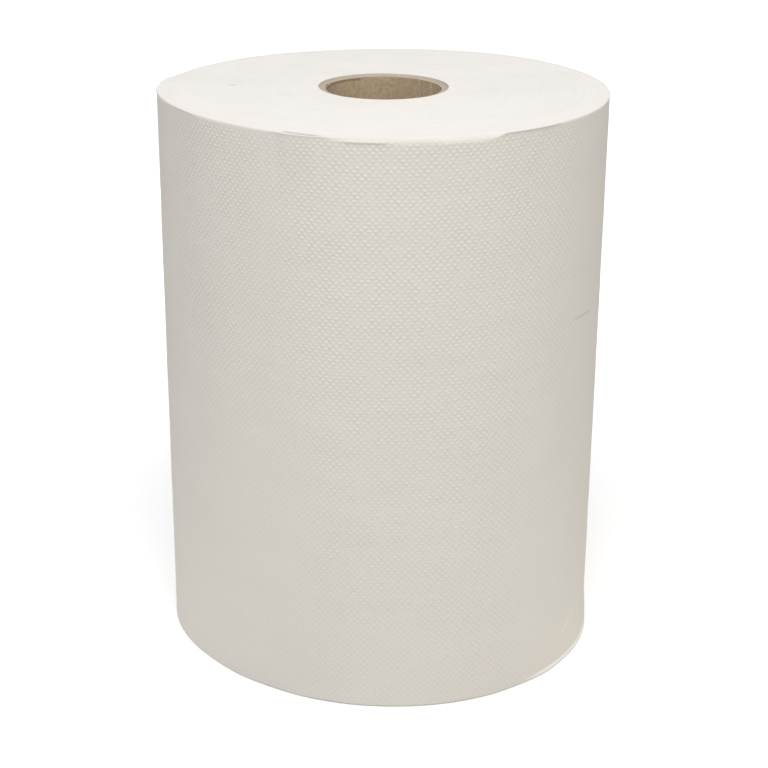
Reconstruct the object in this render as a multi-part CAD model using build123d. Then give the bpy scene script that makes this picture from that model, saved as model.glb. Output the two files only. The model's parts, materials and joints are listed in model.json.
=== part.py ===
"""Paper towel roll: one long embossed sheet wound hard on a card core, standing on its end.

Frame: +Z is the roll's axis, the origin is the axis at the lower end. Millimetres.
"""
import os
from math import degrees, pi, radians, sin

from build123d import *

# Driving dimensions of the wound sheet
ROLL_HEIGHT = 203.0  # width of the sheet
ROLL_DIAMETER = 159.0  # twice the reach at the tail, where the last turn ends
SHEET_STEP = 0.4  # caliper of the embossed sheet, the step at its tail
TAIL_ANGLE = 118.0  # where the sheet ends, in degrees from +X, out of sight behind
RIM_EASE = 0.8  # eased corner where the sheet's cut edges meet the wall

# Driving dimensions of the card core
CORE_BORE = 41.0
CORE_WALL = 2.35
CORE_SETBACK = 0.4  # the core's cut ends lie this far inside the paper's ends

# Driving dimensions of the spiral line that shows the turns on both ends
TURN_PITCH = 5.8  # radial width of the bundle of turns between two passes of the line
TURN_LINE_WIDTH = 0.5
TURN_LINE_DEPTH = 0.3
TURN_LINE_MARGIN = 2.5  # plain band kept inside the rim and outside the core

ARCS_PER_TURN = 4  # tangent arcs that make up one turn of a spiral

arc_angle = degrees(2 * pi / ARCS_PER_TURN)
core_radius = CORE_BORE / 2 + CORE_WALL


def spiral_arcs(reach, pitch, count):
    """Yields centre, radius and start angle for each of the tangent arcs of a spiral.

    The spiral starts at reach on the +X side and closes in by pitch in each turn. The arcs' centres
    are the corners of a small polygon, whose side is the step in radius from one arc to the next.
    """
    step = pitch / ARCS_PER_TURN
    first_corner = Vector(0, -step / 2 / sin(radians(arc_angle / 2)))
    for index in range(count):
        start_angle = arc_angle * index
        centre = first_corner.rotate(Axis.Z, start_angle + arc_angle / 2)
        yield centre, reach - step * (index + 1 / 2), start_angle


def turn_section(section, centre, start_angle):
    """Turns an upright section through one arc about the vertical axis through centre."""
    return Pos(centre) * Rot(0, 0, start_angle) * revolve(Plane.XZ * section, Axis.Z, arc_angle)


def sheet_section(radius):
    """Half section of the wound sheet, from inside the core's wall out to radius."""
    inner = core_radius / 2
    sketch = Pos(inner, 0) * Rectangle(radius - inner, ROLL_HEIGHT, align=(Align.MIN, Align.MIN))
    outer_corners = sketch.vertices().group_by(Axis.X)[-1]
    return chamfer(outer_corners, RIM_EASE)


def turn_line_section(radius):
    """Vee that scores the upper end at radius, carried on above the paper to cut cleanly."""
    root = (radius, ROLL_HEIGHT - TURN_LINE_DEPTH)
    flank_out = (radius + TURN_LINE_WIDTH, ROLL_HEIGHT + TURN_LINE_DEPTH)
    flank_in = (radius - TURN_LINE_WIDTH, ROLL_HEIGHT + TURN_LINE_DEPTH)
    return make_face(Polyline(root, flank_out, flank_in, close=True))


def make_wound_sheet():
    """The whole web as one solid: a spiral wall with its tail step, and the turns scored on the ends."""
    last_turn = [
        turn_section(sheet_section(radius), centre, start_angle)
        for centre, radius, start_angle in spiral_arcs(ROLL_DIAMETER / 2, SHEET_STEP, ARCS_PER_TURN)
    ]
    wound = last_turn[0].fuse(*last_turn[1:]).clean()
    wound -= Cylinder(core_radius, ROLL_HEIGHT, align=(Align.CENTER, Align.CENTER, Align.MIN))

    line_reach = ROLL_DIAMETER / 2 - SHEET_STEP - TURN_LINE_MARGIN
    line_turns = (line_reach - core_radius - TURN_LINE_MARGIN) / TURN_PITCH
    line_arcs = int(line_turns * ARCS_PER_TURN)
    upper_line = [
        turn_section(turn_line_section(radius), centre, start_angle)
        for centre, radius, start_angle in spiral_arcs(line_reach, TURN_PITCH, line_arcs)
    ]
    middle = Plane.XY.offset(ROLL_HEIGHT / 2)
    lower_line = [mirror(arc, middle) for arc in upper_line]
    wound -= upper_line + lower_line
    return Rot(0, 0, TAIL_ANGLE) * wound


def make_core():
    """Card tube that the first turn is glued to."""
    length = ROLL_HEIGHT - 2 * CORE_SETBACK
    wall = Circle(core_radius) - Circle(CORE_BORE / 2)
    return Pos(0, 0, CORE_SETBACK) * extrude(wall, length)


os.makedirs("parts", exist_ok=True)
export_step(make_wound_sheet(), "parts/wound_sheet.step")
export_step(make_core(), "parts/core_tube.step")
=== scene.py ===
"""Paper towel roll: a hard-wound embossed sheet on its card core, standing on a white stage.

Every length is in metres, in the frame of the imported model: +Z is the roll's axis and z = 0 is the
surface that it stands on. A bearing is an angle round the axis in degrees, counted from the front (-Y)
towards the right (+X). A fade is four places: a mark's start, its full part from and to, and its end.
The small helpers between, straight, smooth, within and bell take a number or a shader value.
"""

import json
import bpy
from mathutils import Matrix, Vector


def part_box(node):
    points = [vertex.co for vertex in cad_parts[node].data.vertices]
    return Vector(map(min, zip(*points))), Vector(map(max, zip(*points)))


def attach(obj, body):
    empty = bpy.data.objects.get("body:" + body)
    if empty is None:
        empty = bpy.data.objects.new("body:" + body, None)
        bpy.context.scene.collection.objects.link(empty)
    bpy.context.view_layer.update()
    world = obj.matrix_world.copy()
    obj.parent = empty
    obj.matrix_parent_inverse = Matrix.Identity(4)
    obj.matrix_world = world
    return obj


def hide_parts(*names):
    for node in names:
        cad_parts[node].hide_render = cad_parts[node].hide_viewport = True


bl_info = {
    "name": "Paper towel roll",
    "version": (1, 0, 0),
    "blender": (4, 5, 0),
    "location": "3D View > Sidebar > Towel roll",
    "description": "Dresses a wound paper towel roll and its card core, and sets them on a white stage",
    "category": "Object",
}

from collections import namedtuple
from math import atan2, ceil, cos, degrees, exp, pi, radians, sin

import bmesh
import bpy
from bpy.props import FloatProperty, FloatVectorProperty, IntProperty, PointerProperty
from mathutils import Matrix, Vector, noise

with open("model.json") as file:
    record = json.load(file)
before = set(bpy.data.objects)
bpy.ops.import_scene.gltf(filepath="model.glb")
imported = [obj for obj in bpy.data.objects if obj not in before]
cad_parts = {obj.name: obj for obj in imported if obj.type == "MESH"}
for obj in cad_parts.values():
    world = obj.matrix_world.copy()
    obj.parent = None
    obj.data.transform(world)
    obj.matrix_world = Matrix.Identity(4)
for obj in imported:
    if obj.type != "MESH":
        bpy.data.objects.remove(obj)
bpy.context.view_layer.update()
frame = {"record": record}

MM = 0.001
FULL_TURN = 2 * pi
HALF_TURN = pi
QUARTER_TURN = pi / 2
DEGREES_ROUND = 360

sheet_low, sheet_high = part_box("wound_sheet")
core_low, core_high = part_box("core_tube")
mounts = {mount["name"]: mount for mount in frame["record"]["mounts"]}

SHEET_STEP = 0.4 * MM
TAIL_DEGREES = 118
TAIL_ANGLE = radians(TAIL_DEGREES)
ROLL_REACH = -sheet_low.x + SHEET_STEP * (HALF_TURN - TAIL_ANGLE) / FULL_TURN

Ripple = namedtuple("Ripple", "seed pitch amount")
Swell = namedtuple("Swell", "seed across up amount")
Crease = namedtuple("Crease", "start end start_height end_height half_width rise")
Smudge = namedtuple("Smudge", "x y size strength")

# Bearings of the marks of handling, as fades or as from and to
LIFTED_EDGE = (-26, -23, -17, -14)
# Where a painted shadow fills the slit behind the lifted edge
SLIT_SHADE = (-26, -23, -16, -13)
CRUSHED_RIM = (-13.5, -10.5, 24.5, 31.0)
RUBBED_BAND = (-13.5, -10.5, 28.0, 29.5)
OVERHANG = (-10, -8, 0, 2)
PAST_OVERHANG = (0, 3)
RUBBED_RIM = (10, 15)
UNDERCUT_RIM = (20, 30, 40, 54)
WORN_RIMS = ((-84, -80, -66, -62), (-56, -52, -29, -25), (44, 48, 76, 80))
FLARED_FOOT = (38, 47, 73, 82)
SPREAD_FOOT = (54, 66, 92, 104)
SPREAD_SIDE = (-11, 32, 44, 87)
FLATTENED_SIDE = (-87, -56, -42, -11)
SLUMPED_RIM = (-232, -160, -112, -94)
RIGHT_SIDE = 90

# Slit behind the lifted edge of the upper rim
SLIT_INSETS = (2.1 * MM, 0.5 * MM)  # at its start and end
SLIT_DEPTH = 1.2 * MM
SLIT_WIDTH = 0.3 * MM
SLIT_FLANK = (0.1 * MM, -0.3 * MM)
# Width of the painted shadow in the slit
SLIT_SHADOW_WIDTH = 0.5 * MM
SLIT_SETBACK = 0.6  # share of the sheet's step
LIFT_LEAN = 0.6 * MM
LIFT_REACH = 18 * MM  # down the wall

# Upper rim: the crushed corner, wear, and how far the rim stands out
CRUSH_START_WIDTH = 0.4  # share of the width under the overhang
CRUSH_START_DEPTH = 0.7
RUBBED_DEPTH_LOSS = 0.06
CRUSH_FLATNESS = (0.15, 0.6)  # unrubbed and rubbed
WEAR_WIDTH = 0.3 * MM
WEAR_DEPTH = 0.8 * MM
UNDERCUTS = (0.25 * MM, 0.45 * MM)  # usual and most
EVEN_UNDERCUT = 0.7  # share of the undercut that doesn't waver
OVERHANG_FLARE = 0.35 * MM
FLARE_REACH = 0.55 * MM
FLARE_INSET = 0.8 * MM
CORNER_SHARE = 0.9  # wall's share of the corner

# Out of round
FLAT_AT_RIM = 2.3 * MM
FLAT_AT_FOOT = 1.8 * MM
FLAT_TWIST = 8  # degrees from the rim to the foot
SPREAD = 2.5 * MM
SLUMP = 1.1 * MM

# Foot, with its lip at the right
FOOT_SLOPE = 0.6 * MM
FOOT_SLOPE_TOP = 14 * MM
LIP_OUT = 0.5 * MM
LIP_RISE = (1.9 * MM, 0.6 * MM)
LIP_TUCK = 0.35 * MM
LIP_ROOT = 0.5 * MM
LIP_EASE = 0.25  # share of the foot's corner size
# Painted highlight on the flared lip, which faces up to the light, and the painted shadow under it
LIP_HIGHLIGHT = (2.2 * MM, 1.2 * MM)
LIP_SHADOW = (0.5 * MM, 0.2 * MM, 0.0, 0.7)  # heights, and the painted shadow's strength there

# Tail of the sheet, and reach of the wall's marks over the rim
TAIL_LIFT = 0.35 * MM
TAIL_LOOSE = 9 * MM
WALL_OVER_RIM = 2 * MM

CREASES = (
    Crease(55, 68, 132 * MM, 130.8 * MM, 0.55 * MM, -0.14 * MM),
    Crease(54, 67, 10.6 * MM, 18.4 * MM, 0.7 * MM, 0.18 * MM),
)
CREASE_PAST = 2  # degrees past its ends
CREASE_FADE = 4  # degrees inside its ends

SMUDGES = (
    Smudge(-53.2 * MM, 1.4 * MM, 2.4 * MM, 0.6),
    Smudge(26.4 * MM, -72.4 * MM, 1.5 * MM, 0.35),
    Smudge(49.7 * MM, 23.4 * MM, 2.5 * MM, 0.1),
    Smudge(57.8 * MM, 10.9 * MM, 2.5 * MM, 0.1),
    Smudge(-65.3 * MM, 24.8 * MM, 2.5 * MM, 0.12),
)

# Unevenness along a line, with its pitch in degrees, metres or turns
RIM_RIPPLE = Ripple(3.7, 4, 0.12)
RIM_FRAY = Ripple(9.1, 0.625, 0.14)
WEAR_RIPPLE = Ripple(2.2, 3, 0.5)
FOOT_RIPPLE = Ripple(6.1, 9, 0.4)
TAIL_RIPPLE = Ripple(5.2, 30 * MM, 0.5)
BUNDLE_RIPPLES = (Ripple(0.4, 1 / 0.21, 1.0), Ripple(7.4, 1 / 0.9, 1.0))

# Unevenness over the wall, with its pitch in degrees across and metres up
DOT_SWELL = Swell(4.4, 1.9, 2.6 * MM, 0.8)
SLACK_SWELLS = (
    Swell(1.3, 14, 11 * MM, 0.08 * MM),
    Swell(8.1, 40, 70 * MM, 0.12 * MM),
    Swell(6.6, 35, 4.2 * MM, 0.05 * MM),
)

# Where the emboss is flatter or fuller: shares of the height, and places along X
LOW_PART = (0.75, -0.05)
LOWER_HALF = (0.68, 0.42)
UPPER_PART = (0.7, 0.85)
RIGHT_OF_MIDDLE = (5 * MM, 30 * MM)
LEFT_PART = (-18 * MM, -33 * MM)
LEFT_HOLLOW = (-36 * MM, 11 * MM)  # its middle and its width
RIGHT_PART = (40 * MM, 57 * MM)
RIGHT_EDGE = (58 * MM, 70 * MM)
LEFT_EDGE = (-64 * MM, -74 * MM)

# Share of the dots' height that is gained or lost there
UPPER_GAIN = 0.12
LOW_LOSS = (0.57, 0.42)  # left and right of the middle
LEFT_LOSS = 0.56
LEFT_HOLLOW_LOSS = 0.27
RIGHT_LOSS = (0.14, 0.67)  # in the upper and the lower half
RIGHT_EDGE_LOSS = 0.7
LEFT_EDGE_LOSS = 0.5

# Loose stretch of the core's inner ply at its upper end, in degrees from +X
LOOSE_PLY = (106, 114, 158, 166)
# Where a painted shadow lies under the loose ply's edge
LOOSE_SHADE = (108, 118, 158, 173)
LOOSE_DROP = 1.3 * MM
FLAKE = (166, 4)  # its middle and its width
FLAKE_OUT = 0.9 * MM


def length(name, description, default):
    """A length in metres that a user can change."""
    return FloatProperty(name=name, description=description, default=default, unit="LENGTH", precision=5)


def angle(name, description, opening):
    """An angle, given in degrees, that a user can change."""
    default = radians(opening)
    return FloatProperty(name=name, description=description, default=default, subtype="ANGLE")


def share(name, description, default):
    """A plain number that a user can change."""
    return FloatProperty(name=name, description=description, default=default, precision=4)


def tint(name, description, default):
    """A linear colour that a user can change."""
    return FloatVectorProperty(
        name=name, description=description, default=default, subtype="COLOR", size=3, min=0, max=1
    )


class SheetSettings(bpy.types.PropertyGroup):
    """The wound sheet: its section, its emboss and its colours."""

    height: length("Height", "Width of the sheet, which is the roll's height", sheet_high.z - sheet_low.z)
    reach: length("Reach", "From the axis to the face of the last turn at its tail", ROLL_REACH)
    step: length("Step", "What the wall closes in by over one turn", SHEET_STEP)
    tail_angle: angle("Tail", "Where the sheet ends, from +X", TAIL_DEGREES)
    rim_band: length("Rim band", "Width of the end face that belongs to the last turn", 3.0 * MM)
    rim_run: length("Rim run", "Height of wall beside the rim that bends with it", 2.4 * MM)
    rim_rows: IntProperty(name="Rim rows", description="Rows of faces in each rim", default=24)
    rim_crisp: length("Crisp rim", "Corner size where the sawn edge is sharp", 0.3 * MM)
    crush_width: length("Crush width", "How far the crushed part of the rim is pushed in", 1.2 * MM)
    crush_depth: length("Crush depth", "How far down the wall the crushed part reaches", 2.3 * MM)
    foot_ease: length("Foot", "Corner size of the lower rim", 0.8 * MM)
    dots_around: IntProperty(name="Dots around", description="Raised dots in one row", default=214)
    dot_rows: IntProperty(name="Dot rows", description="Rows of raised dots up the wall", default=166)
    dot_height: length("Dot height", "Height of a raised dot over the ground", 0.08 * MM)
    # The tone between these two colours paints light on the dots and shade in the hollows between them
    paper: tint("Paper", "Colour of the paper on the dots", (0.862, 0.84, 0.794))
    shaded_ground: tint("Ground", "Colour of the paper in the hollows between the dots", (0.692, 0.662, 0.606))


class EndSettings(bpy.types.PropertyGroup):
    """The two sawn ends of the roll."""

    columns: IntProperty(name="Columns", description="Faces in one turn of the end", default=143)
    rings_per_turn: IntProperty(name="Rings", description="Rows of faces across one turn", default=4)
    tuck: length("Tuck", "How far the end reaches in under the last turn's rim", 0.6 * MM)
    turn_relief: length("Turn relief", "Height of one turn's edge over the gap beside it", 0.02 * MM)
    bundle_relief: length("Bundle relief", "How far bundles of turns stand out or in", 0.05 * MM)
    dome: length("Dome", "How far the first turns have slid up past the last one", 0.42 * MM)
    line_pitch: length("Line pitch", "Radial distance between passes of the spiral line", 5.8 * MM)
    line_width: length("Line width", "Width of the spiral line", 0.5 * MM)
    line_depth: length("Line depth", "Depth of the spiral line", 0.06 * MM)
    line_margin: length("Line margin", "From the last turn's inside to the start of the line", 2.5 * MM)
    edge: tint("Edge", "Colour of the sawn edges of the paper", (0.83, 0.803, 0.769))
    glue: tint("Glue", "Colour of the first turns, where they are glued to the core", (0.83, 0.77, 0.67))


class CoreSettings(bpy.types.PropertyGroup):
    """The spiral-wound card core."""

    bore: length("Bore", "Radius of the open bore", mounts["core_bore"]["dims"]["r_mm"] * MM)
    outside: length("Outside", "Radius of the outside", core_high.x)
    low: length("Lower end", "Height of the lower cut end", core_low.z)
    high: length("Upper end", "Height of the upper cut end", core_high.z)
    ply: length("Ply", "Thickness of one ply of card", 0.47 * MM)
    ply_rise: length("Ply rise", "Rise of the inner ply in one turn", 92 * MM)
    seam_width: length("Seam width", "Gap between two passes of the inner ply", 0.8 * MM)
    seam_start: angle("Seam start", "Where the seam starts at the lower end, from +X", -127.6)
    columns: IntProperty(name="Columns", description="Faces in one turn", default=180)
    rows: IntProperty(name="Rows", description="Rows of faces across the inner ply", default=12)
    kraft: tint("Kraft", "Colour of the inner ply", (0.565, 0.455, 0.312))
    fleck: tint("Fleck", "Colour of the darker fibres", (0.445, 0.345, 0.226))
    cut: tint("Cut end", "Colour of the cut end", (0.53, 0.47, 0.388))


class StageSettings(bpy.types.PropertyGroup):
    """Camera, floor and light."""

    camera_distance: length("Distance", "From the axis to the camera, on the level", 615.1 * MM)
    camera_height: length("Height", "Camera above the floor", 328.0 * MM)
    camera_pitch: angle("Pitch", "How far the camera looks down", 21.082)
    camera_yaw: angle("Yaw", "How far the camera looks to the right", 0.087)
    camera_roll: angle("Roll", "How far the camera is turned on its axis", 0.431)
    camera_lens: share("Lens", "Focal length in millimetres", 82.37)
    floor_size: length("Floor", "Side of the square floor", 12.0)
    sky: share("Sky", "Strength of the even light from all round", 0.62)
    key_power: share("Key", "Power of the soft lamp in watts", 11.4)
    key_size: length("Key size", "Side of the square lamp", 0.8)


class TowelRollSettings(bpy.types.PropertyGroup):
    """Everything that a user would change."""

    sheet: PointerProperty(type=SheetSettings, name="Sheet", description="The wound sheet")
    ends: PointerProperty(type=EndSettings, name="Ends", description="The sawn ends")
    core: PointerProperty(type=CoreSettings, name="Core", description="The card core")
    stage: PointerProperty(type=StageSettings, name="Stage", description="Camera, floor and light")


class Wire:
    """A shader socket: Python arithmetic on it adds Math nodes to its node tree."""

    def __init__(self, tree, socket=None):
        self.tree = tree
        self.socket = socket

    def node(self, kind, settings=None, inputs=None, output=0):
        """Adds a node, sets its settings and then its sockets, and returns one of its outputs."""
        made = self.tree.nodes.new(kind)
        for name, value in (settings or {}).items():
            setattr(made, name, value)
        for name, value in (inputs or {}).items():
            if isinstance(value, Wire):
                self.tree.links.new(value.socket, made.inputs[name])
            else:
                made.inputs[name].default_value = value
        return Wire(self.tree, made.outputs[output] if made.outputs else None)

    def math(self, operation, *values):
        """Adds a Math node on this tree."""
        return self.node("ShaderNodeMath", {"operation": operation}, dict(enumerate(values)))

    def __add__(self, other):
        return self.math("ADD", self, other)

    def __radd__(self, other):
        return self.math("ADD", other, self)

    def __sub__(self, other):
        return self.math("SUBTRACT", self, other)

    def __rsub__(self, other):
        return self.math("SUBTRACT", other, self)

    def __mul__(self, other):
        return self.math("MULTIPLY", self, other)

    def __rmul__(self, other):
        return self.math("MULTIPLY", other, self)

    def __truediv__(self, other):
        return self.math("DIVIDE", self, other)

    def cos(self):
        """Cosine of an angle in radians."""
        return self.math("COSINE", self)

    def hypot(self, other):
        """Length of the hypotenuse over two sides."""
        return self.math("SQRT", self * self + other * other)

    def bell(self, centre, width):
        """1 at centre, falling off smoothly on both sides over about width."""
        offset = (self - centre) / width
        return self.math("EXPONENT", offset * offset * -1.0)

    def step(self, low, high, from_value=0.0, to_value=1.0):
        """Runs smoothly from from_value at low to to_value at high."""
        inputs = {"Value": self, "From Min": low, "From Max": high, "To Min": from_value, "To Max": to_value}
        return self.node("ShaderNodeMapRange", {"interpolation_type": "SMOOTHSTEP"}, inputs)

    def blend(self, first, second):
        """Mixes two colours: first where this is 0, second where it is 1."""
        first_socket, second_socket, colour_output = 6, 7, 2
        inputs = {0: self, first_socket: first, second_socket: second}
        return self.node("ShaderNodeMix", {"data_type": "RGBA"}, inputs, colour_output)

    def grain(self, place, cells, detail=3.0):
        """Fractal noise from 0 to 1, with so many cells to the metre."""
        return self.node("ShaderNodeTexNoise", {}, {"Vector": place, "Scale": cells, "Detail": detail})

    def drawn_grain(self, places, cells, detail=3.0):
        """Fractal noise from 0 to 1, with a number of cells of its own along each of three values."""
        scaled = {axis: places[axis] * cells[axis] for axis in range(3)}
        return self.grain(self.node("ShaderNodeCombineXYZ", {}, scaled), 1.0, detail)

    def bump(self, distance):
        """Normals of a surface whose height is this times distance."""
        return self.node("ShaderNodeBump", {}, {"Distance": distance, "Height": self})

    def bearing(self, x, y):
        """Bearing in degrees of a place."""
        return self.math("ARCTAN2", x, y * -1.0) * (DEGREES_ROUND / FULL_TURN)

    def place(self):
        """The object's own coordinates: the vector and its three parts."""
        coordinates = self.node("ShaderNodeTexCoord", output="Object")
        parts = [self.node("ShaderNodeSeparateXYZ", {}, {0: coordinates}, axis) for axis in range(3)]
        return coordinates, *parts


def new_material(name):
    """An empty material and a wire to build its nodes from."""
    material = bpy.data.materials.new(name)
    material.use_nodes = True
    material.node_tree.nodes.clear()
    return material, Wire(material.node_tree)


def finish_material(wire, colour, normal, roughness, specular):
    """Ends a material in a Principled shader."""
    inputs = {"Base Color": colour, "Roughness": roughness, "Normal": normal}
    inputs["Specular IOR Level"] = specular
    shader = wire.node("ShaderNodeBsdfPrincipled", {}, inputs)
    wire.node("ShaderNodeOutputMaterial", {}, {"Surface": shader})


def rgba(colour, brightness=1.0):
    """A colour as a socket takes it, made darker where brightness is under 1."""
    return (*(part * brightness for part in colour), 1.0)


def weigh(values, weights):
    """Sum of shader values, each times its weight."""
    return sum(value * weight for value, weight in zip(values, weights))


def between(first, last, part):
    """Goes from first to last as part goes from 0 to 1."""
    return first + (last - first) * part


def straight(starts, ends, place):
    """A straight line over place, from one (place, value) to another."""
    slope = (ends[1] - starts[1]) / (ends[0] - starts[0])
    return place * slope + (starts[1] - starts[0] * slope)


def smooth(low, high, value):
    """Runs smoothly from 0 at low to 1 at high."""
    if isinstance(value, Wire):
        return value.step(low, high)
    t = min(max((value - low) / (high - low), 0.0), 1.0)
    return t * t * (3 - 2 * t)


def within(fade, value):
    """1 between the two middle places of a fade, running smoothly to 0 at its two outer ones."""
    start, full_from, full_to, end = fade
    return smooth(start, full_from, value) * smooth(end, full_to, value)


def bell(centre, width, value):
    """1 at centre, falling off smoothly on both sides over about width."""
    if isinstance(value, Wire):
        return value.bell(centre, width)
    return exp(-(((value - centre) / width) ** 2))


def ripple(kind, place):
    """Smooth chance unevenness along a line."""
    return kind.amount * noise.noise(Vector((place / kind.pitch, kind.seed, 0)))


def swell(kind, bearing, height):
    """Smooth chance unevenness over the wall."""
    return kind.amount * noise.noise(Vector((bearing / kind.across, height / kind.up, kind.seed)))


def bearing_of(direction):
    """Bearing in degrees of a direction given as an angle from +X in radians."""
    return degrees(atan2(cos(direction), -sin(direction)))


def row_pitch(sheet):
    """Height of one row of dots."""
    return (sheet.height - 2 * sheet.rim_run) / sheet.dot_rows


def rim_shape(sheet, bearing):
    """Width, depth and flatness of the upper rim's corner at a bearing, and its outward flare."""
    crushed = within(CRUSHED_RIM, bearing)
    past_overhang = smooth(*PAST_OVERHANG, bearing)
    rubbed = smooth(*RUBBED_RIM, bearing)
    ragged = (1 + ripple(RIM_RIPPLE, bearing)) * (1 + rubbed * ripple(RIM_FRAY, bearing))
    wide_share = between(CRUSH_START_WIDTH, 1.0, past_overhang)
    deep_share = between(CRUSH_START_DEPTH, 1.0, past_overhang) - RUBBED_DEPTH_LOSS * rubbed
    wide = between(sheet.rim_crisp, sheet.crush_width * wide_share, crushed)
    deep = between(sheet.rim_crisp, sheet.crush_depth * deep_share * ragged, crushed)
    uneven = 0.5 + ripple(WEAR_RIPPLE, bearing)
    worn = sum(within(rim, bearing) for rim in WORN_RIMS)
    wide += WEAR_WIDTH * worn * uneven
    deep += WEAR_DEPTH * worn * uneven
    undercut = between(*UNDERCUTS, within(UNDERCUT_RIM, bearing)) * between(EVEN_UNDERCUT, 1.0, uneven)
    flare = undercut * (1 - crushed) * (1 - worn) + OVERHANG_FLARE * within(OVERHANG, bearing)
    return wide, deep, crushed * between(*CRUSH_FLATNESS, rubbed), flare


def fold_over(run, wide, deep, flat):
    """Inset and drop of a point that lies run past a sharp corner, where the corner is eased."""
    if run <= -deep:
        return 0.0, -run
    if run >= wide:
        return run, 0.0
    t = (run + deep) / (wide + deep)
    inset = wide * between(1 - cos(t * QUARTER_TURN), t, flat)
    drop = deep * between(1 - sin(t * QUARTER_TURN), 1 - t, flat)
    return inset, drop


def slit_inset(bearing):
    """How far inside the wall the slit lies."""
    start, *_, end = LIFTED_EDGE
    return straight((start, SLIT_INSETS[0]), (end, SLIT_INSETS[1]), bearing)


def lifted_edge(inset, drop, bearing):
    """Drop and outward lean of the rim where the outermost turns have come away."""
    lifted = within(LIFTED_EDGE, bearing) * smooth(LIFT_REACH, 0.0, drop)
    past_slit = inset - slit_inset(bearing)
    gap = SLIT_DEPTH * bell(0.0, SLIT_WIDTH, past_slit)
    return lifted * gap, lifted * LIFT_LEAN * smooth(*SLIT_FLANK, past_slit)


def flattened(bearing, lower=0.0):
    """How far the roll is pressed flat on its left: lower is 0 at the rim and 1 at the foot."""
    return within(FLATTENED_SIDE, bearing - FLAT_TWIST * lower) * between(FLAT_AT_RIM, FLAT_AT_FOOT, lower)


def out_of_round(sheet, bearing, height):
    """How far the roll stands out past a true cylinder: less on its left, more at the right of its foot."""
    lower = 1 - height / sheet.height
    return SPREAD * within(SPREAD_SIDE, bearing) * lower**2 - flattened(bearing, lower)


def slumped(bearing):
    """How far the upper rim has sunk at the back, left of the middle."""
    behind = bearing - DEGREES_ROUND if bearing > RIGHT_SIDE else bearing
    return SLUMP * within(SLUMPED_RIM, behind)


def wall_marks(bearing, height):
    """How far the wall stands out at a place because of slack and handling."""
    slack = sum(swell(kind, bearing, height) for kind in SLACK_SWELLS)
    slope = FOOT_SLOPE * smooth(FOOT_SLOPE_TOP, 0.0, height) * within(SPREAD_FOOT, bearing)
    lip = LIP_OUT * smooth(*LIP_RISE, height) - LIP_TUCK * smooth(LIP_ROOT, 0.0, height)
    return slack + slope + lip * within(FLARED_FOOT, bearing)


def pressed(sheet, x, height):
    """Share of the full dot height at a place: the emboss is flatter low down, and on the two sides."""
    up = height / sheet.height
    lower_half = smooth(*LOWER_HALF, up)
    low_loss = smooth(*LOW_PART, up) * between(*LOW_LOSS, smooth(*RIGHT_OF_MIDDLE, x))
    kept = 1 + UPPER_GAIN * smooth(*UPPER_PART, up) - low_loss
    kept = kept * (1 - LEFT_LOSS * smooth(*LEFT_PART, x) * lower_half)
    kept = kept * (1 - LEFT_HOLLOW_LOSS * bell(*LEFT_HOLLOW, x) * (1 - lower_half))
    kept = kept * (1 - smooth(*RIGHT_PART, x) * between(*RIGHT_LOSS, lower_half))
    kept = kept * (1 - RIGHT_EDGE_LOSS * smooth(*RIGHT_EDGE, x))
    return kept * (1 - LEFT_EDGE_LOSS * smooth(*LEFT_EDGE, x))


def flat_sheet(columns, rows):
    """A flat grid, one unit wide and one unit high, that a piece is wound from."""
    bm = bmesh.new()
    bmesh.ops.create_grid(bm, x_segments=columns, y_segments=rows, size=0.5)
    bmesh.ops.translate(bm, verts=bm.verts, vec=(0.5, 0.5, 0))
    return bm


def make_object(name, bm, materials):
    """Turns a bmesh into a smooth piece that rides on the roll."""
    mesh = bpy.data.meshes.new(name)
    bm.to_mesh(mesh)
    bm.free()
    for polygon in mesh.polygons:
        polygon.use_smooth = True
    for material in materials:
        mesh.materials.append(material)
    piece = bpy.data.objects.new(name, mesh)
    bpy.context.scene.collection.objects.link(piece)
    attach(piece, "root")
    return piece


# Grain in cells to the metre, and how much detail it has
COARSE = 2.0
FINE = 4.0
STRAY_GRAIN = 240
PRESS_GRAIN = 420
PATCH_GRAIN = 28
FIBRE_GRAIN = 1400
CREPE_GRAIN = (1500, 1500, 260)
CLOUD_GRAIN = 45
SPECK_GRAIN = 1100

# Dots of the emboss: their form, how far out of line they are, and how unevenly pressed
STRAY_ACROSS = 2.9
STRAY_UP = 2.5
ROW_SHARE = 0.25
DOT_FLANK = (-0.55, 0.85)
UNEVEN_PRESS = (0.3, 0.7, 0.45, 1.35)
PATCHY_PRESS = (0.36, 0.62, 0.93, 1.05)
PLAIN_EDGE = 0.4 * MM
FULL_DOTS = 2.0 * MM
BUMP_SHARE = 0.8  # share of the dots' height

# Relief and tone of the paper, with painted light and shade on the dots and creases, and of its handled
# places, with a painted shadow under the flared lip
FIBRE_RELIEF = 0.2
CREPE_RELIEF = 0.16
DOT_LIGHT_AND_SHADE = 0.51
DOT_LEVEL = 0.45
FIBRE_TONE = 0.12
CLOUD_SPAN = (0.3, 0.7)
CLOUD_TONE = 0.06
CREASE_LIGHT_AND_SHADE = 0.2
RUBBED_DEPTH = (2.6 * MM, 0.4 * MM)
RUBBED_SHARE = (0.1, 0.6)
SPECK_SPAN = (0.5, 0.7, 0.0, 0.9)
LIP_SHADOW_TONE = 0.4


def dot_lattice(wire, sheet, place, direction, z):
    """Staggered rows of dots, a little out of line: 1 on a dot and 0 between dots."""
    stray = wire.grain(place, STRAY_GRAIN, COARSE) - 0.5
    across = (direction - sheet.tail_angle) * sheet.dots_around + stray * STRAY_ACROSS
    up = (z - sheet.rim_run) / row_pitch(sheet) * HALF_TURN - stray * STRAY_UP
    lattice = across.cos() * up.cos() * (1 - ROW_SHARE) + (up * 2.0).cos() * ROW_SHARE
    return lattice.step(*DOT_FLANK)


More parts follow.
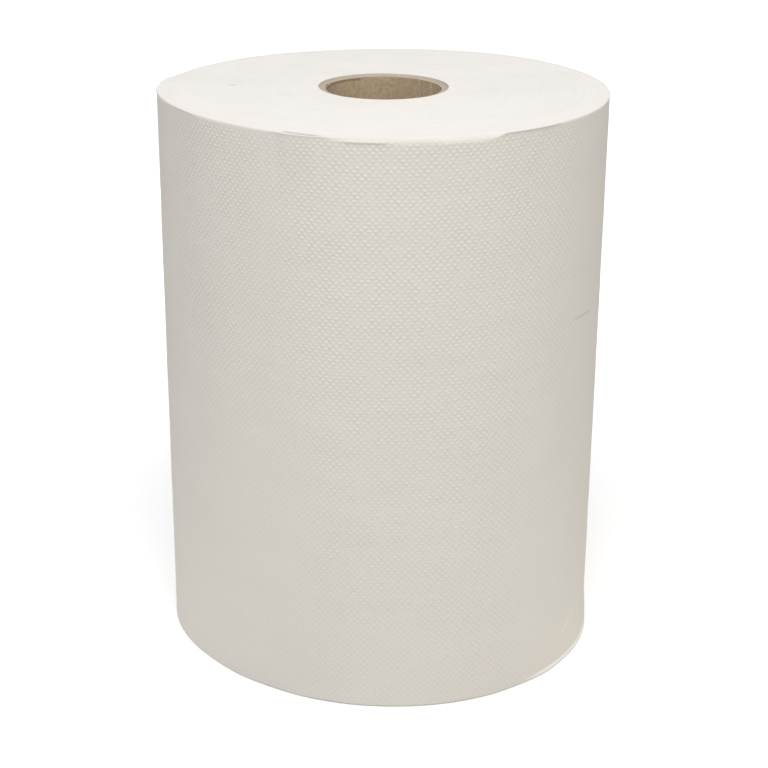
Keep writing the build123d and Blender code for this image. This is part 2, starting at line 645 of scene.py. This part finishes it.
def dot_strength(wire, sheet, place, x, z):
    """Share of the full dot height, with what chance and the sawn edges take from it."""
    uneven = wire.grain(place, PRESS_GRAIN, COARSE).step(*UNEVEN_PRESS)
    patches = wire.grain(place, PATCH_GRAIN).step(*PATCHY_PRESS)
    wall = (PLAIN_EDGE, FULL_DOTS, sheet.height - FULL_DOTS, sheet.height - PLAIN_EDGE)
    return uneven * patches * within(wall, z) * pressed(sheet, x, z)


def crease_line(crease, bearing, z):
    """1 along the ridge of a crease, falling off to both sides of it."""
    middle = straight((crease.start, crease.start_height), (crease.end, crease.end_height), bearing)
    start, end = crease.start, crease.end
    fade = (start - CREASE_PAST, start + CREASE_FADE, end - CREASE_FADE, end + CREASE_PAST)
    return bell(0.0, crease.half_width, z - middle) * within(fade, bearing)


def embossed_paper(sheet, edge):
    """Matt white paper with rows of raised dots, unevenly pressed, over fine fibres, with painted light and
    shade on the dots, their hollows and the creases.
    """
    material, wire = new_material("embossed_paper")
    place, x, y, z = wire.place()
    bearing = wire.bearing(x, y)
    dots = dot_lattice(wire, sheet, place, wire.math("ARCTAN2", y, x), z)
    strength = dot_strength(wire, sheet, place, x, z)
    fibres = wire.grain(place, FIBRE_GRAIN, FINE)
    crepe = wire.drawn_grain((x, y, z), CREPE_GRAIN, COARSE)
    clouds = wire.grain(place, CLOUD_GRAIN).step(*CLOUD_SPAN)
    relief = dots * strength + fibres * FIBRE_RELIEF + crepe * CREPE_RELIEF
    # The dots' share of the tone is painted light on their tops and painted shade in the hollows; the fibres
    # and clouds are the paper's own tone
    tone = (dots - DOT_LEVEL) * strength * DOT_LIGHT_AND_SHADE + (fibres - 0.5) * FIBRE_TONE
    tone = tone + (clouds - 0.5) * CLOUD_TONE + 0.5
    bump_height = BUMP_SHARE * sheet.dot_height
    for crease in CREASES:
        line = crease_line(crease, bearing, z)
        relief = relief + line * (crease.rise / bump_height)
        # A crease's tone is painted shade in its groove, or painted light on its ridge
        tone = tone + line * (crease.rise / sheet.dot_height * CREASE_LIGHT_AND_SHADE)
    colour = tone.blend(rgba(sheet.shaded_ground), rgba(sheet.paper))
    colour = handled_paper(wire, sheet, edge, place, bearing, z, colour)
    finish_material(wire, colour, relief.bump(bump_height), roughness=0.92, specular=0.12)
    return material


def handled_paper(wire, sheet, edge, place, bearing, z, colour):
    """The paper's colour with the rubbed band at the crushed rim, a painted highlight on the flared lip at
    the foot, and a painted shadow under the lip.
    """
    specks = wire.grain(place, SPECK_GRAIN, COARSE).step(*SPECK_SPAN)
    rubbed = smooth(*RUBBED_DEPTH, sheet.height - z) * within(RUBBED_BAND, bearing)
    rubbed = rubbed * bearing.step(*RUBBED_RIM, *RUBBED_SHARE)
    colour = (rubbed * (1.0 - specks)).blend(colour, rgba(edge))
    flared = within(FLARED_FOOT, bearing)
    # Painted highlight on the flared lip, which faces up to the light
    colour = (flared * smooth(*LIP_HIGHLIGHT, z)).blend(colour, rgba(sheet.paper))
    # Painted shadow under the flared lip
    return (flared * z.step(*LIP_SHADOW)).blend(colour, rgba(edge, LIP_SHADOW_TONE))


# Grain of the sawn ends, in cells to the metre or to the radian
HAIR_GRAIN = (2600, 9, 1)
BUNDLE_GRAIN = (420, 1.3, 1)
SAW_GRAIN = (18, 520, 1)
MOTTLE_GRAIN = 60

# Weights of those grains and of the painted shade between turns, bands of colour beside the core, and darker
# tones, among them the painted shadow in the slit
GAP_SHADE_SPAN = (0.6, 1.0)
END_RELIEF = (0.5, 0.9, 0.5)  # hairs, saw, mottle
END_TONE = (0.25, 0.35, 0.4, -0.1)  # hairs, bundles, mottle, and painted shade in the gaps between turns
END_TONE_SPAN = (0.25, 0.6)
END_BUMP = 0.05 * MM
GLUED_BAND = (1.0 * MM, 0.0, 0.0, 0.5)
BARE_BAND = (0.13 * MM, 0.03 * MM, 0.0, 0.85)
SLIT_SHADOW_STRENGTH = 0.75
DULL_SHADE = 0.95
SLIT_SHADOW_TONE = 0.5
SMUDGE_SHADE = 0.75


def sawn_paper(settings):
    """The edges of the turns: near white, with the saw's faint marks, painted shade between turns, a few
    handling marks and a painted shadow in the slit.
    """
    sheet, ends, core = settings.sheet, settings.ends, settings.core
    material, wire = new_material("sawn_paper")
    place, x, y, z = wire.place()
    radius = x.hypot(y)
    direction = wire.math("ARCTAN2", y, x)
    turns = radius / sheet.step + direction / FULL_TURN
    # Painted shade in the gaps between turns
    gap_shade = (turns * FULL_TURN).cos().step(*GAP_SHADE_SPAN)
    hairs = wire.drawn_grain((radius, direction, z), HAIR_GRAIN, COARSE)
    bundles = wire.drawn_grain((radius, direction, z), BUNDLE_GRAIN)
    saw = wire.drawn_grain((x + y, x - y, z), SAW_GRAIN, COARSE)
    mottle = wire.grain(place, MOTTLE_GRAIN)
    relief = weigh((hairs, saw, mottle), END_RELIEF)
    tone = weigh((hairs, bundles, mottle, gap_shade), END_TONE)
    colour = tone.step(*END_TONE_SPAN).blend(rgba(ends.edge, DULL_SHADE), rgba(ends.edge))
    from_core = radius - core.outside
    colour = from_core.step(*GLUED_BAND).blend(colour, rgba(ends.glue))
    colour = from_core.step(*BARE_BAND).blend(colour, rgba(core.cut))
    bearing = wire.bearing(x, y)
    # Painted shadow in the slit behind the lifted edge
    slit_radius = sheet.reach - SLIT_SETBACK * sheet.step - slit_inset(bearing) - flattened(bearing)
    painted_shadow = bell(0.0, SLIT_SHADOW_WIDTH, radius - slit_radius) * within(SLIT_SHADE, bearing)
    painted_shadow = painted_shadow * z.step(sheet.height / 2, sheet.height, 0.0, SLIT_SHADOW_STRENGTH)
    colour = painted_shadow.blend(colour, rgba(ends.edge, SLIT_SHADOW_TONE))
    for smudge in SMUDGES:
        spot = (x - smudge.x).hypot(y - smudge.y).step(smudge.size, 0.0, 0.0, smudge.strength)
        colour = spot.blend(colour, rgba(ends.glue, SMUDGE_SHADE))
    finish_material(wire, colour, relief.bump(END_BUMP), roughness=0.95, specular=0.1)
    return material


class TOWELROLL_OT_last_turn(bpy.types.Operator):
    """Wind the embossed last turn, with its tail, its rims and its marks of handling"""

    bl_idname = "towel_roll.last_turn"
    bl_label = "Last turn"

    def execute(self, context):
        settings = context.scene.towel_roll
        sheet = settings.sheet
        columns = 2 * sheet.dots_around
        rows = sheet.dot_rows + 2 * sheet.rim_rows
        bm = flat_sheet(columns, rows)
        upright_ends = [
            edge for edge in bm.edges if edge.is_boundary and edge.verts[0].co.x == edge.verts[1].co.x
        ]
        self.mark_ends(bm, sheet, rows)
        for vert in bm.verts:
            column = round(vert.co.x * columns)
            row = round(vert.co.y * rows)
            vert.co = self.wound_place(sheet, column / columns, row, (column + row) % 2 == 0)
        bmesh.ops.bridge_loops(bm, edges=upright_ends)
        bmesh.ops.recalc_face_normals(bm, faces=bm.faces)
        for edge in upright_ends:
            edge.smooth = False
        materials = (embossed_paper(sheet, settings.ends.edge), sawn_paper(settings))
        piece = make_object("last_turn", bm, materials)
        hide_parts("wound_sheet")
        return {"FINISHED"}

    def wound_place(self, sheet, turned, row, raised):
        """Where a point of the flat sheet lies once it is wound, folded over the rims and embossed."""
        direction = sheet.tail_angle + turned * FULL_TURN
        bearing = bearing_of(direction)
        inset, height, out = self.section(sheet, bearing, self.section_run(sheet, row))
        out += wall_marks(bearing, height) * smooth(WALL_OVER_RIM, 0.0, inset)
        out += self.tail_lift(turned, height, sheet)
        out += out_of_round(sheet, bearing, height)
        if sheet.rim_rows <= row <= sheet.rim_rows + sheet.dot_rows:
            dot = sheet.dot_height * pressed(sheet, sheet.reach * cos(direction), height)
            dot *= 1 + swell(DOT_SWELL, bearing, height)
            out += dot / 2 if raised else -dot / 2
        radius = sheet.reach - sheet.step * turned - inset + out
        return radius * cos(direction), radius * sin(direction), height

    def section_run(self, sheet, row):
        """How far up the unfolded section a row lies: rows are closer together in the two rims."""
        rim_pitch = (sheet.rim_band + sheet.rim_run) / sheet.rim_rows
        past_dots = row - sheet.rim_rows - sheet.dot_rows
        if row < sheet.rim_rows:
            return row * rim_pitch - sheet.rim_band
        if past_dots > 0:
            return sheet.height - sheet.rim_run + past_dots * rim_pitch
        return sheet.rim_run + (row - sheet.rim_rows) * row_pitch(sheet)

    def section(self, sheet, bearing, run):
        """Inset, height and outward lean of the point that lies run up the unfolded section."""
        if run < sheet.height / 2:
            ease = sheet.foot_ease * (1 + ripple(FOOT_RIPPLE, bearing))
            ease *= between(1.0, LIP_EASE, within(FLARED_FOOT, bearing))
            inset, rise = fold_over(-run, ease, ease, 0.0)
            return inset, rise, 0.0
        wide, deep, flat, flare = rim_shape(sheet, bearing)
        inset, drop = fold_over(run - sheet.height, wide, deep, flat)
        edge_drop, lean = lifted_edge(inset, drop, bearing)
        at_corner = bell(deep - sheet.rim_crisp, FLARE_REACH, drop)
        lean += flare * at_corner * smooth(sheet.rim_band, FLARE_INSET, inset)
        sunk = slumped(bearing) * smooth(sheet.rim_run, 0.0, drop)
        return inset, sheet.height - drop - edge_drop - sunk, lean

    def tail_lift(self, turned, height, sheet):
        """How far the free end of the sheet stands off the turn below it."""
        from_tail = turned * FULL_TURN * sheet.reach
        return TAIL_LIFT * (0.5 + ripple(TAIL_RIPPLE, height)) * smooth(TAIL_LOOSE, 0.0, from_tail) ** 2

    def mark_ends(self, bm, sheet, rows):
        """Gives the rows that lie past the two rims' corners, on the sawn ends, the second material."""
        for face in bm.faces:
            middle = face.calc_center_median()
            run = self.section_run(sheet, middle.y * rows)
            wide = rim_shape(sheet, bearing_of(sheet.tail_angle + middle.x * FULL_TURN))[0]
            if run < -sheet.foot_ease or run > sheet.height + CORNER_SHARE * wide:
                face.material_index = 1


class TOWELROLL_OT_roll_ends(bpy.types.Operator):
    """Lay the edges of the turns on both ends of the roll"""

    bl_idname = "towel_roll.roll_ends"
    bl_label = "Roll ends"

    weld_distance = 0.002 * MM
    whole_turn_slack = 0.01
    tuck_drop = 0.06 * MM
    relief_fade = 2.0 * MM
    core_gap = 0.1 * MM
    core_turn = 0.8 * MM

    def execute(self, context):
        settings = context.scene.towel_roll
        material = sawn_paper(settings)
        self.end_face("upper_end", settings, material, settings.sheet.height, 1)
        self.end_face("lower_end", settings, material, 0.0, -1)
        return {"FINISHED"}

    def end_face(self, name, settings, material, level, outward):
        """One end: a flat spiral of turns from under the last turn's rim to the core."""
        sheet, ends, core = settings.sheet, settings.ends, settings.core
        outside = sheet.reach - sheet.rim_band + ends.tuck
        turns = int((outside - core.outside) / sheet.step) - 1
        bm = flat_sheet(ends.columns, turns * ends.rings_per_turn)
        for vert in bm.verts:
            turned = vert.co.x
            turn = vert.co.y * turns
            direction = sheet.tail_angle + turned * FULL_TURN
            radius = outside - (turn + turned) * sheet.step
            height = self.relief(settings, turn, turned, radius)
            bulge = out_of_round(sheet, bearing_of(direction), level)
            radius += bulge * smooth(core.outside, outside, radius)
            vert.co = (radius * cos(direction), radius * sin(direction), height)
        bmesh.ops.remove_doubles(bm, verts=bm.verts, dist=self.weld_distance)
        self.meet_core(bm, settings)
        for vert in bm.verts:
            slid = ends.dome * smooth(sheet.reach - sheet.rim_band, core.outside, vert.co.xy.length)
            if outward > 0:
                sunk = slumped(bearing_of(atan2(vert.co.y, vert.co.x)))
                slid -= sunk * smooth(core.outside, outside, vert.co.xy.length)
            vert.co.z = level + outward * vert.co.z + slid
        bmesh.ops.recalc_face_normals(bm, faces=bm.faces)
        if sum(face.normal.z for face in bm.faces) * outward < 0:
            bmesh.ops.reverse_faces(bm, faces=bm.faces)
        make_object(name, bm, [material])

    def relief(self, settings, turn, turned, radius):
        """Height of a point of the end over its plane."""
        sheet, ends = settings.sheet, settings.ends
        whole = int(turn + self.whole_turn_slack)
        crest = sin((turn - whole) * HALF_TURN)
        bundle = sum(ripple(kind, whole + turned) for kind in BUNDLE_RIPPLES)
        line_reach = sheet.reach - sheet.step - ends.line_margin
        line = (line_reach - radius) / ends.line_pitch - turned
        off_line = abs(line - round(line)) * ends.line_pitch
        groove = max(0.0, 1 - 2 * off_line / ends.line_width)
        from_rim = sheet.reach - sheet.step * turned - sheet.rim_band - radius
        height = ends.turn_relief * (crest - 1) + ends.bundle_relief * (bundle - 1) / 2
        height -= ends.line_depth * groove
        tucked = self.tuck_drop * smooth(0.0, -ends.tuck, from_rim)
        return smooth(0.0, self.relief_fade, from_rim) * height - tucked

    def meet_core(self, bm, settings):
        """Turns the inner edge down beside the core."""
        core = settings.core
        middle = (settings.sheet.reach + core.outside) / 2
        border = [edge for edge in bm.edges if edge.is_boundary and edge.verts[0].co.xy.length < middle]
        for vert in {vert for edge in border for vert in edge.verts}:
            vert.co.xy *= (core.outside + self.core_gap) / vert.co.xy.length
        made = bmesh.ops.extrude_edge_only(bm, edges=border)
        for vert in made["geom"]:
            if isinstance(vert, bmesh.types.BMVert):
                vert.co.xy *= core.outside / vert.co.xy.length
                vert.co.z -= self.core_turn
        for edge in border:
            edge.smooth = False


# Grain and tone of the card, depths of colour at its cut ends, and the painted shadow under the loose ply
FLECK_GRAIN = 900
STREAK_GRAIN = (60, 120, 1)
CARD_CLOUD_GRAIN = 90
CUT_DEPTH = (0.3 * MM, 0.05 * MM)
LOOSE_SHADE_DEPTH = (1.2 * MM, 0.6 * MM, 0.0, 0.5)
LOOSE_SHADOW_TONE = 0.3
CARD_TONE = (0.55, 0.12, 0.33)  # flecks, streaks, clouds
CARD_TONE_SPAN = (0.35, 0.62)
CARD_RELIEF = (0.6, 0.2)  # flecks, streaks
CARD_BUMP = 0.12 * MM
FUR_SPAN = (0.35, 0.6)
FUR_SHADE = 0.86


class TOWELROLL_OT_core_tube(bpy.types.Operator):
    """Wind the card core, with the helical seam of its inner ply and its two cut ends"""

    bl_idname = "towel_roll.core_tube"
    bl_label = "Core tube"

    weld_distance = 0.01 * MM
    seam_foot = 0.6  # flat share of the seam
    half_line = 0.05 * MM  # of the line between two cut plies
    line_depth = 0.1 * MM

    def execute(self, context):
        core = context.scene.towel_roll.core
        bm = self.inner_ply(core)
        self.cut_ends(bm, core)
        bmesh.ops.recalc_face_normals(bm, faces=bm.faces)
        piece = make_object("core_tube_card", bm, [self.card(core)])
        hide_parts("core_tube")
        return {"FINISHED"}

    def inner_ply(self, core):
        """The bore: a strip wound up a helix, with a sunk seam between one pass and the next."""
        passes = ceil((core.high - core.low) / core.ply_rise) + 1
        rows = passes * core.rows
        bm = flat_sheet(core.columns, rows)
        seam_rows = (0, 1, 2, core.rows - 2, core.rows - 1)
        for edge in bm.edges:
            ends_in = {round(vert.co.y * rows) for vert in edge.verts}
            if len(ends_in) == 1 and ends_in.pop() % core.rows in seam_rows:
                edge.smooth = False
        for vert in bm.verts:
            turned = vert.co.x
            whole, row = divmod(round(vert.co.y * rows), core.rows)
            across, sunk = self.across_ply(core, row)
            radius = core.bore + sunk
            direction = core.seam_start + turned * FULL_TURN
            height = core.low + (whole + turned - 1) * core.ply_rise + across
            vert.co = (radius * cos(direction), radius * sin(direction), height)
        bmesh.ops.remove_doubles(bm, verts=bm.verts, dist=self.weld_distance)
        return bm

    def across_ply(self, core, row):
        """Distance from the seam's middle, and depth, of a row of the inner ply."""
        half_seam = core.seam_width / 2
        foot = self.seam_foot * half_seam
        last = core.rows - 1
        if row == 0:
            return 0.0, core.ply
        if row == 1:
            return foot, core.ply
        if row == last:
            return core.ply_rise - foot, core.ply
        along = (row - 2) / (last - 3)
        return half_seam + along * (core.ply_rise - core.seam_width), 0.0

    def cut_ends(self, bm, core):
        """Saws the tube to length and closes it with the cut plies and the outside."""
        for height, up in ((core.low, -1), (core.high, 1)):
            bmesh.ops.bisect_plane(
                bm,
                geom=bm.verts[:] + bm.edges[:] + bm.faces[:],
                plane_co=(0, 0, height),
                plane_no=(0, 0, up),
                clear_outer=True,
            )
        border = [edge for edge in bm.edges if edge.is_boundary]
        for edge in border:
            edge.smooth = False
        for vert in {vert for edge in border for vert in edge.verts}:
            self.set_on_ring(core, vert, vert.co.xy.length, 0.0, 1.0, 0.0)
        for reach, sink, inner, gap in self.ring_steps(core):
            made = bmesh.ops.extrude_edge_only(bm, edges=border)
            for vert in made["geom"]:
                if isinstance(vert, bmesh.types.BMVert):
                    self.set_on_ring(core, vert, reach, sink, inner, gap)
            border = [
                edge for edge in made["geom"] if isinstance(edge, bmesh.types.BMEdge) and edge.is_boundary
            ]
        bmesh.ops.bridge_loops(bm, edges=border)

    def set_on_ring(self, core, vert, reach, sink, inner, gap):
        """Puts a point on a cut end; the inner ply has come loose along part of the upper one."""
        direction = degrees(atan2(vert.co.y, vert.co.x))
        upper = vert.co.z > (core.low + core.high) / 2
        loose = within(LOOSE_PLY, direction) if upper else 0.0
        flake = bell(*FLAKE, direction) if upper else 0.0
        vert.co.xy *= (reach - inner * FLAKE_OUT * flake) / vert.co.xy.length
        drop = sink + gap * LOOSE_DROP * max(loose, flake)
        vert.co.z = core.high - drop if upper else core.low + drop

    def ring_steps(self, core):
        """Each loop across a cut end: radius, sink, share in the inner ply and in the gap behind it."""
        plies = round((core.outside - core.bore) / core.ply)
        for index in range(1, plies):
            joint = core.bore + index * core.ply
            first = 1.0 if index == 1 else 0.0
            yield joint - self.half_line, 0.0, first, 0.0
            yield joint, self.line_depth, 0.0, first
            yield joint + self.half_line, 0.0, 0.0, 0.0
        yield core.outside, 0.0, 0.0, 0.0

    def card(self, core):
        """Grey-brown recycled card with darker fibres, a paler furred cut end, and a painted shadow under
        the loose inner ply.
        """
        material, wire = new_material("core_card")
        place, x, y, z = wire.place()
        direction = wire.math("ARCTAN2", y, x)
        flecks = wire.grain(place, FLECK_GRAIN, FINE)
        streaks = wire.drawn_grain((direction, z, x.hypot(y)), STREAK_GRAIN)
        clouds = wire.grain(place, CARD_CLOUD_GRAIN)
        tone = weigh((flecks, streaks, clouds), CARD_TONE).step(*CARD_TONE_SPAN)
        inside = tone.blend(rgba(core.fleck), rgba(core.kraft))
        below = core.high - z
        above = z - core.low
        # Painted shadow under the loose edge of the inner ply
        painted_shadow = below.step(*LOOSE_SHADE_DEPTH)
        painted_shadow = painted_shadow * within(LOOSE_SHADE, direction * (DEGREES_ROUND / FULL_TURN))
        inside = painted_shadow.blend(inside, rgba(core.fleck, LOOSE_SHADOW_TONE))
        cut_end = flecks.step(*FUR_SPAN).blend(rgba(core.cut, FUR_SHADE), rgba(core.cut))
        colour = (smooth(*CUT_DEPTH, below) + smooth(*CUT_DEPTH, above)).blend(inside, cut_end)
        relief = weigh((flecks, streaks), CARD_RELIEF)
        finish_material(wire, colour, relief.bump(CARD_BUMP), roughness=0.9, specular=0.15)
        return material


# Floor beside the roll, which throws light back on it
BESIDE_X = (0.03, 0.09)
BESIDE_Y = (-0.17, -0.03)
BESIDE_REACH = (0.35, 0.2)
FLOOR_BOUNCE = ((0.59, 0.566, 0.522, 1), (0.89, 0.852, 0.78, 1))

# Floor as the camera sees it
FLOOR_PAINT = (0.9, 0.9, 0.9, 1)
FLOOR_GLOW = ((0.25, 0.25, 0.25, 1), (0.5, 0.5, 0.5, 1))
GLOW_REACH = (0.1, 0.5)

# Sky from left to right, lamp, and camera
SKY_TINTS = ((0.945, 0.971, 1.045, 1), (0.972, 0.974, 0.965, 1))
SKY_SPAN = (-0.9, 0.9)
WHITE = (1, 1, 1, 1)
KEY_PLACE = (0.02, -0.75, 1.3)
KEY_AIM = (0, 0, 0.12)
KEY_COLOUR = (1.0, 0.97, 0.925)
SENSOR_WIDTH = 36  # millimetres


class TOWELROLL_OT_stage(bpy.types.Operator):
    """Set the camera, the white floor and the soft light"""

    bl_idname = "towel_roll.stage"
    bl_label = "Stage"

    def execute(self, context):
        scene = context.scene
        stage = scene.towel_roll.stage
        scene.view_settings.view_transform = "Standard"
        self.place_camera(scene, stage)
        self.lay_floor(scene, stage)
        self.light_sky(scene, stage)
        self.hang_lamp(scene, stage)
        return {"FINISHED"}

    def place_camera(self, scene, stage):
        """The photograph's point of view."""
        data = bpy.data.cameras.new("camera")
        data.lens = stage.camera_lens
        data.sensor_width = SENSOR_WIDTH
        camera = bpy.data.objects.new("camera", data)
        turn = Matrix.Rotation(-stage.camera_yaw, 4, "Z")
        tip = Matrix.Rotation(QUARTER_TURN - stage.camera_pitch, 4, "X")
        roll = Matrix.Rotation(stage.camera_roll, 4, "Z")
        place = Matrix.Translation((0, -stage.camera_distance, stage.camera_height))
        camera.matrix_world = place @ turn @ tip @ roll
        scene.collection.objects.link(camera)
        scene.camera = camera

    def seen_directly(self, wire):
        """1 for rays that show the background itself, straight on or in a gloss or a glass."""
        kinds = ("Camera", "Glossy", "Transmission")
        camera, *others = [wire.node("ShaderNodeLightPath", output=f"Is {kind} Ray") for kind in kinds]
        return wire.math("MAXIMUM", camera, wire.math("MAXIMUM", *others))

    def lay_floor(self, scene, stage):
        """A white floor that keeps the roll's shadow."""
        bm = bmesh.new()
        bmesh.ops.create_grid(bm, x_segments=1, y_segments=1, size=stage.floor_size / 2)
        mesh = bpy.data.meshes.new("floor")
        bm.to_mesh(mesh)
        bm.free()
        mesh.materials.append(self.white_floor())
        floor = bpy.data.objects.new("floor", mesh)
        scene.collection.objects.link(floor)

    def white_floor(self):
        """White to the camera, with the shadow, and warm and bright beside the roll to everything else."""
        material, wire = new_material("white_floor")
        _, x, y, _ = wire.place()
        reach = x.hypot(y)
        aside = (x * x).step(*(edge**2 for edge in BESIDE_X))
        beside = aside * smooth(*BESIDE_REACH, reach) * smooth(*BESIDE_Y, y)
        bounce = wire.node("ShaderNodeBsdfDiffuse", {}, {"Color": beside.blend(*FLOOR_BOUNCE)})
        paint = wire.node("ShaderNodeBsdfDiffuse", {}, {"Color": FLOOR_PAINT})
        far_off = smooth(*GLOW_REACH, reach).blend(*FLOOR_GLOW)
        glow = wire.node("ShaderNodeEmission", {}, {"Color": far_off})
        shown = wire.node("ShaderNodeAddShader", {}, {0: paint, 1: glow})
        mixed = wire.node("ShaderNodeMixShader", {}, {0: self.seen_directly(wire), 1: bounce, 2: shown})
        wire.node("ShaderNodeOutputMaterial", {}, {"Surface": mixed})
        return material

    def light_sky(self, scene, stage):
        """Even light from all round, in front of a plain white background."""
        world = bpy.data.worlds.new("studio")
        world.use_nodes = True
        world.node_tree.nodes.clear()
        wire = Wire(world.node_tree)
        towards = wire.node("ShaderNodeTexCoord", output="Generated")
        rightwards = wire.node("ShaderNodeSeparateXYZ", {}, {0: towards})
        tinted = smooth(*SKY_SPAN, rightwards).blend(*SKY_TINTS)
        even = wire.node("ShaderNodeBackground", {}, {"Color": tinted, "Strength": stage.sky})
        white = wire.node("ShaderNodeBackground", {}, {"Color": WHITE, "Strength": 1.0})
        mixed = wire.node("ShaderNodeMixShader", {}, {0: self.seen_directly(wire), 1: even, 2: white})
        wire.node("ShaderNodeOutputWorld", {}, {"Surface": mixed})
        scene.world = world

    def hang_lamp(self, scene, stage):
        """One large soft lamp, high up and in front."""
        data = bpy.data.lights.new("key", "AREA")
        data.energy = stage.key_power
        data.color = KEY_COLOUR
        data.size = stage.key_size
        lamp = bpy.data.objects.new("key", data)
        lamp.location = KEY_PLACE
        aim = Vector(KEY_AIM) - lamp.location
        lamp.rotation_euler = aim.to_track_quat("-Z", "Y").to_euler()
        scene.collection.objects.link(lamp)


class TOWELROLL_PT_panel(bpy.types.Panel):
    """The roll's pieces and their sizes"""

    bl_idname = "TOWELROLL_PT_panel"
    bl_label = "Towel roll"
    bl_space_type = "VIEW_3D"
    bl_region_type = "UI"
    bl_category = "Towel roll"

    def draw(self, context):
        settings = context.scene.towel_roll
        groups = (
            (TOWELROLL_OT_last_turn, settings.sheet),
            (TOWELROLL_OT_roll_ends, settings.ends),
            (TOWELROLL_OT_core_tube, settings.core),
            (TOWELROLL_OT_stage, settings.stage),
        )
        for operator, group in groups:
            box = self.layout.box()
            box.operator(operator.bl_idname)
            for name in group.__annotations__:
                box.prop(group, name)


CLASSES = (
    SheetSettings,
    EndSettings,
    CoreSettings,
    StageSettings,
    TowelRollSettings,
    TOWELROLL_OT_last_turn,
    TOWELROLL_OT_roll_ends,
    TOWELROLL_OT_core_tube,
    TOWELROLL_OT_stage,
    TOWELROLL_PT_panel,
)


def register():
    for item in CLASSES:
        bpy.utils.register_class(item)
    bpy.types.Scene.towel_roll = PointerProperty(type=TowelRollSettings)


def unregister():
    del bpy.types.Scene.towel_roll
    for item in reversed(CLASSES):
        bpy.utils.unregister_class(item)


def main():
    """Builds every piece and the stage."""
    register()
    bpy.ops.towel_roll.last_turn()
    bpy.ops.towel_roll.roll_ends()
    bpy.ops.towel_roll.core_tube()
    bpy.ops.towel_roll.stage()


if __name__ == "__main__":
    main()
